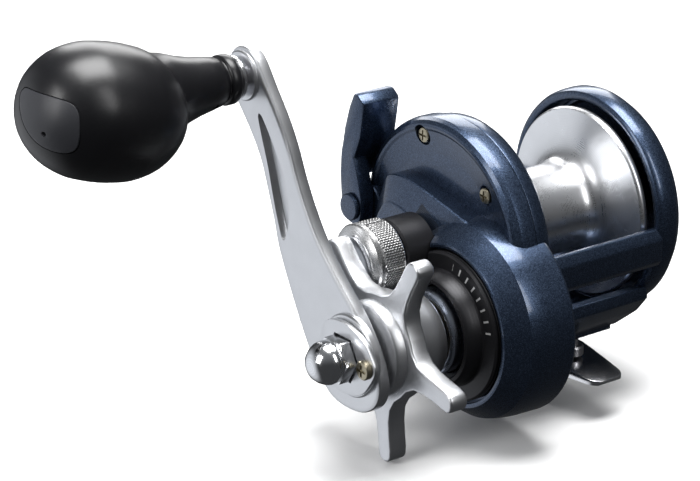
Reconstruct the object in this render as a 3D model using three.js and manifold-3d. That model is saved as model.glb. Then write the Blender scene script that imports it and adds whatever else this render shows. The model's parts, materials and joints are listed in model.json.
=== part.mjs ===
// Star drag trolling reel, 60 mm spool, right hand wind.
// Units are millimetres. +X runs along the spool axle towards the handle, +Y is where the line leaves
// the reel, +Z is up. The origin is the middle of the seat under the reel foot.
import * as THREE from 'three';
import { mergeVertices } from 'three/addons/utils/BufferGeometryUtils.js';
import Module from 'manifold-3d';

const wasm = await Module();
wasm.setup();

// ---------------------------------------------------------------- driving dimensions
const AXLE_HEIGHT = 43;            // spool axle above the rod seat
const DRIVE_FORWARD = 20;          // drive shaft, forward of the spool axle
const DRIVE_DROP = 18.7;           // drive shaft, below the spool axle
const FLANGE_RADIUS = 30;
const ARBOR_RADIUS = 14;
const FRAME_INSIDE = 22;           // half the clear width between the two frame rings
const RING_RADIUS = 35;
const PLATE_RADIUS = 37.4;         // rim of the handle side plate
const RING_BORE = 31;
const LEFT_RING_OUT = -30;
const RIGHT_RING_OUT = 28;
const PLATE_FACE = 34;             // painted face of the handle side plate
const LOBE_RADIUS = 31.2;          // round gear lobe about the drive shaft
const LOBE_FACE = 41.5;
const BULGE_FACE = 43;
const BOSS_RADIUS = 22.9;
const BOSS_FACE = 48.6;
const GEAR_TEETH = 58;
const PINION_TEETH = 11;
const STAR_ARMS = 5;
const STAR_RADIUS = 35.4;
const ARM_INNER_FACE = 79.6;
const ARM_OUTER_FACE = 83.8;
const KNOB_BACK = 52.7;            // knob axle behind the drive shaft
const KNOB_RISE = 71.2;            // knob axle above the drive shaft
const KNOB_TILT = 13;              // the bulb of the grip leans up by this many degrees at its outer end
const ROUNDNESS = 0.14;            // rounds every turned part to a multiple of four facets
const CENTRE_DISTANCE = Math.hypot(DRIVE_FORWARD, DRIVE_DROP);
const MODULE = (2 * CENTRE_DISTANCE) / (GEAR_TEETH + PINION_TEETH);

// ---------------------------------------------------------------- colours
function finish(color, roughness, metalness) {
  return { color, roughness, metalness };
}
const BLUE = finish(0x33486b, 0.38, 0.6);
const STEEL = finish(0xb9bcc2, 0.3, 0.95);
const SATIN = finish(0xa9abb0, 0.42, 0.9);
const CHROME = finish(0xd8dade, 0.12, 1.0);
const BLACK = finish(0x17171a, 0.4, 0.5);
const RUBBER = finish(0x1b1b1d, 0.7, 0.0);
const GREY = finish(0x56585c, 0.5, 0.1);
const BRASS = finish(0xb08d4a, 0.35, 0.9);
const CARBON = finish(0x2a2a2c, 0.8, 0.0);
const PLASTIC = finish(0x303136, 0.55, 0.0);

// ---------------------------------------------------------------- solids
function toSolid(geometry) {
  const bare = geometry.clone();
  bare.deleteAttribute('normal');
  bare.deleteAttribute('uv');
  const welded = mergeVertices(bare, 1e-4);
  const corners = welded.index.array;
  const position = welded.attributes.position;
  const kept = [];
  let volume = 0;
  const a = new THREE.Vector3();
  const b = new THREE.Vector3();
  const c = new THREE.Vector3();
  for (let i = 0; i < corners.length; i += 3) {
    const [p, q, r] = [corners[i], corners[i + 1], corners[i + 2]];
    if (p === q || q === r || r === p) continue;
    a.fromBufferAttribute(position, p);
    b.fromBufferAttribute(position, q);
    c.fromBufferAttribute(position, r);
    volume += a.dot(b.cross(c));
    kept.push(p, q, r);
  }
  if (volume < 0) kept.reverse();
  return new wasm.Manifold(new wasm.Mesh({
    numProp: 3,
    vertProperties: new Float32Array(position.array),
    triVerts: new Uint32Array(kept),
  }));
}

function toGeometry(solid) {
  const mesh = solid.getMesh();
  const geometry = new THREE.BufferGeometry();
  geometry.setAttribute('position', new THREE.BufferAttribute(new Float32Array(mesh.vertProperties), 3));
  geometry.setIndex(new THREE.BufferAttribute(new Uint32Array(mesh.triVerts), 1));
  geometry.computeVertexNormals();
  return geometry;
}

// A turned solid about the X axis. The profile is a list of [radius, x].
function turned(profile, segments = 28) {
  const points = profile.map(([radius, x]) => new THREE.Vector2(radius, x));
  if (profile[0][0] !== 0) points.push(points[0].clone());
  const facets = 4 * Math.max(3, Math.round(segments * ROUNDNESS));
  const geometry = new THREE.LatheGeometry(points, facets);
  geometry.rotateZ(-Math.PI / 2);
  return toSolid(geometry);
}

function disc(radius, x0, x1, segments = 28) {
  return turned([[0, x0], [radius, x0], [radius, x1], [0, x1]], segments);
}

function ring(inner, outer, x0, x1, segments = 28) {
  return turned([[inner, x0], [outer, x0], [outer, x1], [inner, x1]], segments);
}

// A flat shape in the YZ plane, drawn out along X.
function plate(outline, x0, x1, bevel = 0) {
  const shape = new THREE.Shape(outline.map(([y, z]) => new THREE.Vector2(y, z)));
  const geometry = new THREE.ExtrudeGeometry(shape, {
    depth: x1 - x0 - 2 * bevel,
    bevelEnabled: bevel > 0,
    bevelThickness: bevel,
    bevelSize: bevel,
    bevelOffset: -bevel,
    bevelSegments: 1,
  });
  geometry.translate(0, 0, x0 + bevel);
  geometry.applyMatrix4(new THREE.Matrix4().makeBasis(
    new THREE.Vector3(0, 1, 0),
    new THREE.Vector3(0, 0, 1),
    new THREE.Vector3(1, 0, 0),
  ));
  return toSolid(geometry);
}

function block(x0, x1, y0, y1, z0, z1) {
  const geometry = new THREE.BoxGeometry(x1 - x0, y1 - y0, z1 - z0);
  geometry.translate((x0 + x1) / 2, (y0 + y1) / 2, (z0 + z1) / 2);
  return toSolid(geometry);
}

// A smooth closed outline through a few points.
function smooth(points, count) {
  const curve = new THREE.CatmullRomCurve3(points.map(([y, z]) => new THREE.Vector3(y, z, 0)), true);
  return curve.getPoints(count).slice(0, count).map((p) => [p.x, p.y]);
}

function circle(y, z, radius, nominal = 24) {
  const outline = [];
  const count = nominal <= 8 ? nominal : 4 * Math.max(3, Math.round(nominal * ROUNDNESS));
  for (let i = 0; i < count; i += 1) {
    const angle = (2 * Math.PI * i) / count;
    outline.push([y + radius * Math.cos(angle), z + radius * Math.sin(angle)]);
  }
  return outline;
}

function onDrive(solid) {
  return solid.translate([0, DRIVE_FORWARD, -DRIVE_DROP]);
}

function onKnob(solid) {
  return solid.translate([0, DRIVE_FORWARD - KNOB_BACK, KNOB_RISE - DRIVE_DROP]);
}

// A cylinder standing along Z.
function post(radius, y, z0, z1, segments = 20) {
  const geometry = new THREE.CylinderGeometry(radius, radius, z1 - z0, segments);
  geometry.rotateX(Math.PI / 2);
  geometry.translate(0, y, (z0 + z1) / 2);
  return toSolid(geometry);
}

// Spur gear outline: short teeth, narrow enough to run with backlash.
function gearOutline(teeth, turn) {
  const pitch = (MODULE * teeth) / 2;
  const root = pitch - 0.72;
  const tip = pitch + 0.42;
  const step = (2 * Math.PI) / teeth;
  const outline = [];
  for (let i = 0; i < teeth; i += 1) {
    const angle = i * step + turn;
    for (const [radius, share] of [[root, -0.27], [tip, -0.1], [tip, 0.1], [root, 0.27]]) {
      outline.push([radius * Math.cos(angle + share * step), radius * Math.sin(angle + share * step)]);
    }
  }
  return outline;
}

const group = new THREE.Group();
group.name = 'trolling_reel';
const reel = new THREE.Group();
reel.name = 'reel_on_axle_height';
reel.position.z = AXLE_HEIGHT;
group.add(reel);

function addPart(name, solid, look) {
  const material = new THREE.MeshStandardMaterial(look);
  material.name = `${name}_material`;
  const mesh = new THREE.Mesh(toGeometry(solid), material);
  mesh.name = name;
  reel.add(mesh);
}

// ---------------------------------------------------------------- one-piece frame
const leftRing = turned([
  [RING_BORE, LEFT_RING_OUT],
  [RING_RADIUS - 1, LEFT_RING_OUT],
  [RING_RADIUS, LEFT_RING_OUT + 1.2],
  [RING_RADIUS, -FRAME_INSIDE - 4],
  [RING_RADIUS - 1.2, -FRAME_INSIDE],
  [RING_BORE + 0.6, -FRAME_INSIDE],
  [RING_BORE, -FRAME_INSIDE - 0.6],
], 36);
const rightRing = turned([
  [RING_BORE, FRAME_INSIDE],
  [RING_RADIUS + 0.4, FRAME_INSIDE],
  [PLATE_RADIUS - 1, FRAME_INSIDE + 1],
  [PLATE_RADIUS - 0.4, RIGHT_RING_OUT],
  [RING_BORE, RIGHT_RING_OUT],
], 36);
const frontBar = plate([
  [31.4, 0], [29.8, -11.4], [33.4, -12], [34.8, -10], [34.8, -3.4], [33.2, 0],
], -FRAME_INSIDE - 2, FRAME_INSIDE + 2);
const rearBar = plate([
  [-31.6, 2], [-33.4, 2.4], [-34.6, 0], [-34, -7.6], [-32, -9.6], [-30.2, -8.8],
], -FRAME_INSIDE - 2, FRAME_INSIDE + 2);
const basePlate = plate([
  [23.3, -21.6], [28.4, -20.4], [29.2, -24], [24.6, -29.6], [15, -37.2],
  [-15, -37.2], [-24.4, -29.6], [-27.4, -22.2], [-23.3, -21.6], [-17, -27], [-9, -30.6],
  [0, -32], [9, -30.6], [17, -27],
], -FRAME_INSIDE - 2, FRAME_INSIDE + 2);
const seatBlock = block(-22, 22, -14.5, 14.5, -38.9, -34);
addPart('reel_frame', leftRing.add(rightRing).add(frontBar).add(rearBar).add(basePlate).add(seatBlock), BLUE);

// ---------------------------------------------------------------- rod foot
const footSide = plate([
  [-38.5, -43], [38.5, -43], [39.6, -42.2], [39.2, -41.4], [24, -40.2], [16, -39.2],
  [-16, -39.2], [-24, -40.2], [-39.2, -41.4], [-39.6, -42.2],
], -9, 9);
const footPlan = new THREE.Shape(smooth([
  [0, 40], [5.4, 38], [7.2, 31], [8.8, 16], [8.8, -16], [7.2, -31], [5.4, -38],
  [0, -40], [-5.4, -38], [-7.2, -31], [-8.8, -16], [-8.8, 16], [-7.2, 31], [-5.4, 38],
], 42).map(([x, y]) => new THREE.Vector2(x, y)));
const footPrism = new THREE.ExtrudeGeometry(footPlan, { depth: 8, bevelEnabled: false });
footPrism.translate(0, 0, -45);
addPart('rod_foot', footSide.intersect(toSolid(footPrism)), STEEL);
for (const [name, y] of [['foot_screw_front', 21.5], ['foot_screw_rear', -21.5]]) {
  addPart(name, post(3.3, y, -39.4, -36).add(post(1.6, y, -36.4, -33.9, 12)), STEEL);
}

// ---------------------------------------------------------------- line side cover, bearing and screws
const leftCover = turned([
  [0, -37.6], [14, -37.6], [22, -36.6], [28, -34.6], [31.5, -32.6], [33.4, -30.9], [33.4, LEFT_RING_OUT - 0.2],
  [30.2, LEFT_RING_OUT - 0.2], [29.4, -31.4], [20, -34], [12, -35], [8.2, -35], [8.2, -28.8], [5.4, -28.8],
  [5.4, -34.2], [0, -34.2],
], 36);
addPart('left_side_cover', leftCover, BLUE);
addPart('left_spool_bearing', ring(2.8, 5.1, -33.2, -30.2, 28), STEEL);
for (let i = 0; i < 3; i += 1) {
  const angle = Math.PI / 2 + (2 * Math.PI * i) / 3;
  const screw = disc(1.9, -38.2, -37.8, 16);
  addPart(`left_cover_screw_${i + 1}`, screw.translate([0, 10 * Math.cos(angle), 10 * Math.sin(angle)]), STEEL);
}

// ---------------------------------------------------------------- spool and its axle
const spool = turned([
  [2.9, -17], [6, -17], [8.8, -19.6], [22, -21.6], [FLANGE_RADIUS - 0.8, -21.6],
  [FLANGE_RADIUS, -20.8], [FLANGE_RADIUS - 0.6, -19], [25, -18.4], [19, -16.6],
  [ARBOR_RADIUS + 1.2, -13.5], [ARBOR_RADIUS, -10.5],
  [ARBOR_RADIUS, 10.5], [ARBOR_RADIUS + 1.2, 13.5], [19, 16.6], [25, 18.4],
  [FLANGE_RADIUS - 0.6, 19], [FLANGE_RADIUS, 20.8], [FLANGE_RADIUS - 0.8, 21.6],
  [22, 21.6], [8.8, 19.6], [6, 17], [2.9, 17],
], 36);
addPart('line_spool', spool, STEEL);
const crossPin = disc(0.8, -3.2, 3.2, 12).rotate([0, 0, 90]).translate([24.6, 0, 0]);
addPart('spool_axle', disc(2.5, -34, 50, 24).add(crossPin), SATIN);

// ---------------------------------------------------------------- handle side plate with its gear housing
const plateBody = turned([
  [0, RIGHT_RING_OUT + 0.3], [PLATE_RADIUS, RIGHT_RING_OUT + 0.3], [PLATE_RADIUS, 32.2],
  [PLATE_RADIUS - 1.4, 34.8], [34.6, 36], [33.4, PLATE_FACE], [0, PLATE_FACE],
], 36);
const lobe = onDrive(turned([
  [0, 24.8], [LOBE_RADIUS - 0.8, 24.8], [LOBE_RADIUS, 25.6], [LOBE_RADIUS - 0.2, 34],
  [LOBE_RADIUS - 1.3, LOBE_FACE - 0.8], [LOBE_RADIUS - 2.3, LOBE_FACE],
  [25.4, 46.6], [24.7, 47.3], [23.8, 47.3], [23.8, 44.4], [0, 44.4],
], 30));
const bulgeSide = [
  [-20.4, 16.2], [-12.9, 17.4], [-4, 16.2], [5.5, 14.2], [19.7, 11.2], [33.7, 5.5], [40, 2.2],
  [42, -8], [30, -34], [8, -40], [-10, -30], [-22, -20], [-27, -9], [-26, 3],
];
const bulgeTop = [
  [-17.6, 8.6], [-12, 8.9], [-1.4, 6.2], [8.2, 3.7], [18, 2], [30, -2], [34, -10],
  [28, -30], [8, -36], [-9, -27], [-19, -18], [-23, -8], [-22.6, 2],
];
const bulgeLow = plate(bulgeSide, 33, 40.2, 0.4);
const bulgeHigh = plate(bulgeTop, 39.6, BULGE_FACE, 0.6);
const slope = plate([
  [-19, 12.5], [-12.4, 13.2], [-2.7, 11.2], [7, 9], [19, 6.6], [32, 2], [36, -8],
  [29, -32], [8, -38], [-9.5, -28.5], [-20.5, -19], [-25, -8.5], [-24.3, 2.5],
], 39.8, 41.8, 0.6);
const pivotEar = plate(circle(-35.4, 1.4, 7, 28), 29.5, 36.4, 0.5);
const ringRelief = disc(PLATE_RADIUS - 0.1, 20, RIGHT_RING_OUT + 0.3, 36);
const spoolCavity = disc(RING_BORE + 0.2, 27, 33.2, 36).subtract(disc(40, 32.2, 34, 24));
const gearCavity = onDrive(disc(25.4, 28.2, 36.6, 30)).subtract(onDrive(disc(25.6, 36.6, 40, 24)));
const innerRoom = plate([
  [-16.6, 11.6], [-12, 12.4], [5, 10.9], [16, 8.4], [24, 2], [20, -14], [0, -20], [-14, -14], [-17, 0],
], 30, 40.4);
const screwPockets = [[-9, 30.4], [20, 19.4]];
let sidePlate = plateBody.add(lobe).add(bulgeLow).add(slope).add(bulgeHigh).add(pivotEar);
sidePlate = sidePlate.subtract(ringRelief).subtract(disc(11, 44.4, 70, 28));
sidePlate = sidePlate.subtract(spoolCavity).subtract(gearCavity).subtract(innerRoom);
sidePlate = sidePlate.subtract(disc(3.4, 30, 50, 24));
sidePlate = sidePlate.subtract(onDrive(disc(12.4, 30, 50, 30)));
sidePlate = sidePlate.subtract(plate(circle(-35.4, 1.4, 1.9, 14), 28, 40));
for (const [y, z] of screwPockets) {
  sidePlate = sidePlate.subtract(plate(circle(y, z, 3, 18), 33, 40));
}
addPart('handle_side_plate', sidePlate, BLUE);
screwPockets.forEach(([y, z], i) => {
  addPart(`side_plate_screw_${i + 1}`, plate(circle(y, z, 2.3, 18), 33.4, 35.2, 0.5), BRASS);
});

// ---------------------------------------------------------------- bridge plate, clutch cam and yoke
const POST_Y = 6.5;
const POST_Z = 6.94;
let bridge = disc(30.6, 28.7, 29.7, 36).subtract(disc(4.1, 28, 30.5, 24));
bridge = bridge.subtract(onDrive(disc(2.6, 28, 30.5, 24)));
for (const side of [1, -1]) {
  const slider = disc(1.1, 29.2, 39.9, 12);
  bridge = bridge.add(slider.translate([0, side * POST_Y, side * POST_Z]));
}
addPart('bridge_plate', bridge, SATIN);

let cam = ring(5.6, 7.9, 30, 30.8, 36);
for (const middle of [110, 190]) {
  const outline = [];
  for (const [radius, angle] of [[7.8, 0], [7.8, 9], [7.8, 18], [6, 18], [6, 9], [6, 0]]) {
    const turn = ((middle + angle) * Math.PI) / 180;
    outline.push([radius * Math.cos(turn), radius * Math.sin(turn)]);
  }
  cam = cam.add(plate(outline, 30.4, 32));
}
const camTail = plate([[-7, 1.6], [-7, -1.6], [-13.4, -1.2], [-13.4, 1.2]], 30, 30.8);
cam = cam.add(camTail).subtract(disc(5.6, 29, 34, 30));
addPart('clutch_cam', cam, STEEL);

const yokeOutline = smooth([
  [9, 7.4], [8.2, 9.2], [5.8, 9.6], [1, 8], [-5, 5], [-8, 0], [-9.4, -6],
  [-8.4, -9.2], [-5.4, -9.4], [-3.6, -7], [-3.7, -3], [-3.6, 1.6], [-0.6, 4], [3, 3.8], [6.8, 4.4],
], 36);
let yoke = plate(yokeOutline, 36.2, 37);
for (const side of [1, -1]) {
  yoke = yoke.subtract(plate(circle(side * POST_Y, side * POST_Z, 1.45, 14), 35, 38));
}
yoke = yoke.subtract(disc(3.4, 35, 38, 24));
const yokeFoot = plate([[-3.6, 5], [-6, 2.6], [-7, 3.2], [-4.4, 5.9]], 32.5, 36.6);
addPart('clutch_yoke', yoke.add(yokeFoot.subtract(disc(5.6, 31, 36.1, 24))), BRASS);
for (const [i, side] of [1, -1].entries()) {
  const coils = [];
  const turns = 2.5;
  for (let k = 0; k <= 20; k += 1) {
    const angle = (2 * Math.PI * turns * k) / 20;
    coils.push(new THREE.Vector3(37.4 + (2.6 * k) / 20, 1.75 * Math.cos(angle), 1.75 * Math.sin(angle)));
  }
  const wire = new THREE.Shape(circle(0, 0, 0.22, 4).map(([u, v]) => new THREE.Vector2(u, v)));
  const spring = new THREE.ExtrudeGeometry(wire, {
    steps: 26,
    extrudePath: new THREE.CatmullRomCurve3(coils),
  });
  addPart(`yoke_spring_${i + 1}`, toSolid(spring).translate([0, side * POST_Y, side * POST_Z]), STEEL);
}

// ---------------------------------------------------------------- pinion, main gear and drag stack
const pinionTurn = (Math.atan2(-DRIVE_DROP, DRIVE_FORWARD));
let pinion = plate(gearOutline(PINION_TEETH, pinionTurn), 30.9, 35);
pinion = pinion.add(disc(3.6, 24, 31.5, 24)).add(disc(3, 34.6, 37.6, 24)).add(disc(4.3, 37.2, 38.1, 24));
pinion = pinion.subtract(disc(2.75, 20, 45, 24));
pinion = pinion.subtract(block(23.4, 25.8, -6, 6, -1.1, 1.1));
addPart('pinion_gear', pinion, BRASS);

const gearTurn = pinionTurn + Math.PI + Math.PI / GEAR_TEETH;
let mainGear = plate(gearOutline(GEAR_TEETH, gearTurn), 31.1, 34.2);
mainGear = mainGear.add(disc(21.4, 33, 35.4, 30)).subtract(disc(19.6, 32, 38, 30));
mainGear = mainGear.subtract(disc(5.6, 30, 38, 24));
addPart('main_gear', onDrive(mainGear), BRASS);
addPart('drag_washer_inner', onDrive(ring(5.9, 19.2, 32.2, 32.8, 30)), CARBON);
addPart('drag_washer_keyed', onDrive(ring(5.9, 19.2, 33, 33.5, 30)), STEEL);
addPart('drag_washer_outer', onDrive(ring(5.9, 19.2, 33.7, 34.3, 30)), CARBON);
addPart('drag_pressure_plate', onDrive(ring(5.9, 19.2, 34.5, 35.2, 30)), STEEL);
const driveShaft = turned([
  [0, 27.4], [2.3, 27.4], [2.3, 30], [8.6, 30], [8.6, 30.8], [5.3, 30.8], [5.3, 40.2],
  [4.6, 40.7], [4.6, 77.6], [4, 78.4], [4, 88.6], [3, 89.2], [3, 90.8], [0, 90.6],
], 28);
addPart('drive_shaft', onDrive(driveShaft), STEEL);
addPart('anti_reverse_bearing', onDrive(ring(5, 11.8, 41, 49, 30)), SATIN);
addPart('tension_spring_washer', onDrive(turned([
  [5.6, 35.9], [12, 37], [12, 37.5], [5.6, 36.4],
], 24)), STEEL);

// ---------------------------------------------------------------- black boss ring around the drive shaft
const castKnobRoom = disc(10.9, 44.5, 70, 28);
let bossRing = turned([
  [13.4, 44.7], [BOSS_RADIUS, 44.7], [BOSS_RADIUS, BOSS_FACE - 0.8], [BOSS_RADIUS - 0.8, BOSS_FACE],
  [17.6, BOSS_FACE + 0.8], [16.6, 54], [14.6, 54.6], [14.6, 52], [13.4, 51.4],
], 36);
bossRing = onDrive(bossRing).subtract(castKnobRoom);
addPart('gear_housing_ring', bossRing, BLACK);
addPart('housing_seal_ring', onDrive(ring(5.2, 12.9, 50, 56.4, 40)), SATIN);

// ---------------------------------------------------------------- star drag wheel and its nut
addPart('star_nut', onDrive(ring(5, 9.2, 57, 65.2, 24)), BRASS);
const starOutline = [];
for (let i = 0; i < STAR_ARMS; i += 1) {
  const angle = ((60.6 + 72 * i) * Math.PI) / 180;
  for (const [along, across] of [
    [15.2, -6.2], [19, -3.9], [24, -3.1], [30, -3], [33.6, -3.2], [STAR_RADIUS, -1.6],
    [STAR_RADIUS, 1.2], [33.4, 3.2], [30, 3.4], [24, 3.3], [19, 3.9], [15.2, 6.2],
  ]) {
    starOutline.push([
      along * Math.cos(angle) - across * Math.sin(angle),
      along * Math.sin(angle) + across * Math.cos(angle),
    ]);
  }
}
let star = plate(starOutline, 68.3, 74.6, 0.8);
star = star.add(turned([
  [0, 58.4], [12.4, 58.4], [13.4, 59.4], [14.6, 68.6], [14.6, 77], [13.8, 78.4], [0, 78.4],
], 40));
star = star.subtract(disc(9.6, 50, 65.6, 24)).subtract(disc(5, 60, 84, 22));
addPart('star_drag_wheel', onDrive(star), SATIN);

// ---------------------------------------------------------------- handle arm
const armOutline = smooth([
  [-4, -17.8], [-11.6, -15.9], [-18, -9.6], [-22.9, -2.9], [-30.1, 9.7], [-36, 21.6], [-38.4, 29.5],
  [-41.4, 38.1], [-45, 47.2], [-50, 54.6], [-56.4, 62], [-60.8, 67.6], [-61.2, 73.4], [-57.6, 78.4],
  [-52.4, 79.8], [-47, 77.6], [-40.8, 69.6], [-35, 62], [-30.5, 54.5], [-26.5, 45.8], [-22, 37.8],
  [-15.8, 29.2], [-7, 20.5], [2.7, 11.9], [10.3, 2.1], [13, -6], [11, -12.6], [4.6, -16.8],
], 66);
let arm = plate(armOutline, ARM_INNER_FACE, ARM_OUTER_FACE, 0.7);
arm = arm.add(disc(12.6, 83, 85, 30));
arm = arm.add(plate(circle(-KNOB_BACK, KNOB_RISE, 7.6, 28), 81, 84.8, 0.6));
arm = arm.subtract(disc(4.4, 60, 90, 22));
arm = arm.subtract(plate(circle(-KNOB_BACK, KNOB_RISE, 2.3, 20), 70, 90));
const armSlot = smooth([
  [-45.3, 60.6], [-43.4, 60.4], [-37.4, 52.4], [-32.6, 44.4], [-30.5, 34.4], [-32, 27.6], [-33.6, 25.6],
  [-35.4, 29.5], [-37.8, 36.7], [-40.7, 46.8], [-43.8, 55.3],
], 30);
arm = arm.subtract(plate(armSlot, 82.3, 88));
addPart('handle_arm', onDrive(arm), STEEL);

const nutHex = plate(circle(0, 0, 7.4, 6), 85.5, 91.4, 0.5);
const nutDome = turned([
  [0, 85.5], [6.4, 85.5], [6.6, 91.6], [6.4, 93], [5.2, 96], [3, 98], [0, 98.8],
], 32);
addPart('handle_nut', onDrive(nutHex.add(nutDome).subtract(disc(4.3, 80, 91.4, 22))), CHROME);
let retainer = plate(smooth([
  [12.6, -4.6], [15.2, 0.4], [13.4, 4.4], [9, 8.6], [0, 11], [-8.6, 8.6], [-11, 0], [-8.4, -8.6], [0, -11], [8.2, -9],
], 36), 85.3, 87);
retainer = retainer.subtract(plate(circle(0, 0, 7.9, 6), 80, 90));
retainer = retainer.subtract(plate(circle(11.4, 0.2, 1.5, 12), 80, 90));
addPart('nut_retainer', onDrive(retainer), SATIN);
const lockScrew = plate(circle(11.4, 0.2, 2.9, 18), 87.2, 89, 0.3).add(plate(circle(11.4, 0.2, 1.2, 12), 85.2, 87.6));
addPart('nut_retainer_screw', onDrive(lockScrew), BRASS);

// ---------------------------------------------------------------- power knob
addPart('knob_spindle', onKnob(disc(2, 78.8, 140, 24).add(disc(3.4, 85.1, 86.2, 24)).add(disc(2.9, 139, 142, 24))), STEEL);
addPart('knob_washer', onKnob(ring(2.3, 6.6, 86.5, 88.2, 22)), CHROME);
function bulb(inset) {
  const profile = [
    [0, -25.6], [7.4, -24.3], [11.8, -21.8], [16.1, -16.6], [18.7, -10.2], [19.7, 0],
    [18.7, 10.2], [16.1, 16.6], [11.8, 21.8], [7.4, 24.3], [0, 25.6],
  ];
  const solid = turned(profile, 30).rotate([0, -KNOB_TILT, 0]);
  return solid.translate([133.5 - inset, -0.3, -0.5]);
}
let grip = bulb(0).add(turned([
  [0, 88.6], [6.8, 88.6], [7.6, 89.4], [7.6, 92], [6.8, 92.6], [6.8, 93.2], [7.4, 94], [8.2, 98],
  [8.9, 102], [10.2, 107], [12, 112], [13.2, 118], [0, 118],
], 40));
grip = grip.subtract(disc(3.4, 80, 144.4, 24));
grip = grip.subtract(disc(4.7, 80, 92.6, 24));
const endPlateOutline = smooth([
  [16.2, 0], [15.6, 5.6], [11, 7.6], [0, 7.9], [-11, 7.6], [-15.6, 5.6], [-16.2, 0],
  [-15.6, -5.6], [-11, -7.6], [0, -7.9], [11, -7.6], [15.6, -5.6],
], 36);
const endMiddle = [1.7, 0.3];
const endPocket = plate(endPlateOutline, 140, 164).translate([0, ...endMiddle]).subtract(bulb(2.4));
grip = grip.subtract(endPocket);
const setScrewTurn = -43;
const setScrewHole = disc(1.2, 4.4, 12, 12).rotate([0, 0, 90]).rotate([setScrewTurn, 0, 0]).translate([98, 0, 0]);
addPart('knob_grip', onKnob(grip.subtract(setScrewHole)), RUBBER);
const endBlank = plate(endPlateOutline.map(([y, z]) => [y * 0.975, z * 0.95]), 140, 164);
const endPlate = endBlank.translate([0, ...endMiddle]).intersect(bulb(0)).subtract(bulb(2.1));
addPart('knob_end_plate', onKnob(endPlate), GREY);
addPart('knob_bushing_inner', onKnob(ring(2.3, 4.4, 89.2, 92.2, 24)), BRASS);
const setScrew = disc(0.95, 5, 7.6, 12).rotate([0, 0, 90]).rotate([setScrewTurn, 0, 0]);
addPart('knob_set_screw', onKnob(setScrew.translate([98, 0, 0])), SATIN);

// ---------------------------------------------------------------- cast control
let castPost = turned([
  [5.4, 44.8], [10.4, 44.8], [10.4, 55.6], [6.6, 56], [6.6, 62], [5.4, 62],
], 28);
castPost = castPost.add(ring(2.9, 10.4, 44.8, 46, 40)).add(ring(2.9, 3.3, 43.5, 45, 24));
addPart('cast_control_post', castPost.subtract(onDrive(disc(BOSS_RADIUS + 0.3, 40, 46.4, 30))), BLACK);
const grips = 40;
const knurl = [];
for (let i = 0; i < grips; i += 1) {
  const angle = (2 * Math.PI * i) / grips;
  const radius = i % 2 === 0 ? 11.2 : 10.8;
  knurl.push([radius * Math.cos(angle), radius * Math.sin(angle)]);
}
let castKnob = plate(knurl, 56.3, 64, 0.3).add(turned([
  [0, 63], [11, 63], [11.3, 64], [11.3, 66.2], [9.4, 67.4], [8.6, 67.6], [0, 67.6],
], 40));
castKnob = castKnob.subtract(disc(6.9, 50, 64.6, 24)).subtract(disc(8.1, 67.1, 70, 24));
addPart('cast_control_knob', castKnob, SATIN);
addPart('cast_control_cap', disc(7.6, 67.15, 67.75, 32), CHROME);
addPart('cast_control_friction_disc', disc(4.6, 62.6, 64.3, 24), BRASS);
addPart('right_spool_bearing', ring(2.8, 5.1, 46.4, 49.4, 28), STEEL);

// ---------------------------------------------------------------- clutch lever
const leverArm = plate(smooth([
  [-35.5, -4.3], [-39.6, -2], [-41, 4], [-41.4, 12], [-40.4, 20], [-36.6, 21.4], [-34.4, 17],
  [-32.2, 10], [-30.8, 3], [-31.8, -2.6],
], 30), 36.8, 42, 0.6);
const leverPad = plate([
  [-41.6, 10], [-41.2, 17], [-39.4, 26], [-37, 33.4], [-34.6, 38.4], [-32.4, 38.2], [-29.4, 36],
  [-30.2, 31], [-31.4, 24.4], [-34.4, 17.4], [-36.4, 12], [-37.6, 9.6],
], 28, 42, 0.8);
const lever = leverArm.add(leverPad).subtract(plate(circle(-35.4, 1.4, 2, 16), 30, 50));
addPart('clutch_lever', lever, BLUE);
const pivotButton = plate(circle(-35.4, 1.4, 4.3, 28), 42.2, 43.6, 0.5);
addPart('lever_pivot_screw', pivotButton.add(plate(circle(-35.4, 1.4, 1.6, 16), 30.2, 42.6)), BLUE);

export default group;
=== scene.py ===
"""Looks of the star drag trolling reel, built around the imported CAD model.

Shapes are drawn in millimetres about the spool axle: x towards the handle, y forward, z up.
Every piece is then scaled and raised into the model's own frame.
"""

import json
import math

import bmesh
import bpy
from mathutils import Matrix, Vector


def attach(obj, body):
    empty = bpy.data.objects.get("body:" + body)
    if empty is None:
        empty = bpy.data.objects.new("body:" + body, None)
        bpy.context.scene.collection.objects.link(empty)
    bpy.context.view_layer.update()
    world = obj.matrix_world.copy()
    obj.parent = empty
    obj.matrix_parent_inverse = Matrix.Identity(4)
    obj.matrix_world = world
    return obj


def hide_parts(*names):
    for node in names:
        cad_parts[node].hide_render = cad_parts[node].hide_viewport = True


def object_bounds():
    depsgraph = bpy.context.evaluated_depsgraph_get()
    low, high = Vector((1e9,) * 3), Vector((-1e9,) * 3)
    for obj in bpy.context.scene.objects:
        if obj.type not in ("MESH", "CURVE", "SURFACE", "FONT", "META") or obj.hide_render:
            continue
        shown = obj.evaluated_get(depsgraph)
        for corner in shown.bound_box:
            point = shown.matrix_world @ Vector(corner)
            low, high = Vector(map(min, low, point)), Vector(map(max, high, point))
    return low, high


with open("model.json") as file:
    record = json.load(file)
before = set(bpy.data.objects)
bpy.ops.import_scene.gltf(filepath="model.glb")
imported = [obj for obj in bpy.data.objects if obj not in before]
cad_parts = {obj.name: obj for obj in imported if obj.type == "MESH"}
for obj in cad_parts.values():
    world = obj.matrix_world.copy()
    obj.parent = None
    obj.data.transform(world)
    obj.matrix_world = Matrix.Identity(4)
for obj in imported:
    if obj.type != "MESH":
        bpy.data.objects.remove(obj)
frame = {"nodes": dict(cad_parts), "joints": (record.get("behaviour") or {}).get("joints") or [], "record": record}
cad_low, cad_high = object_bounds()

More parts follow.
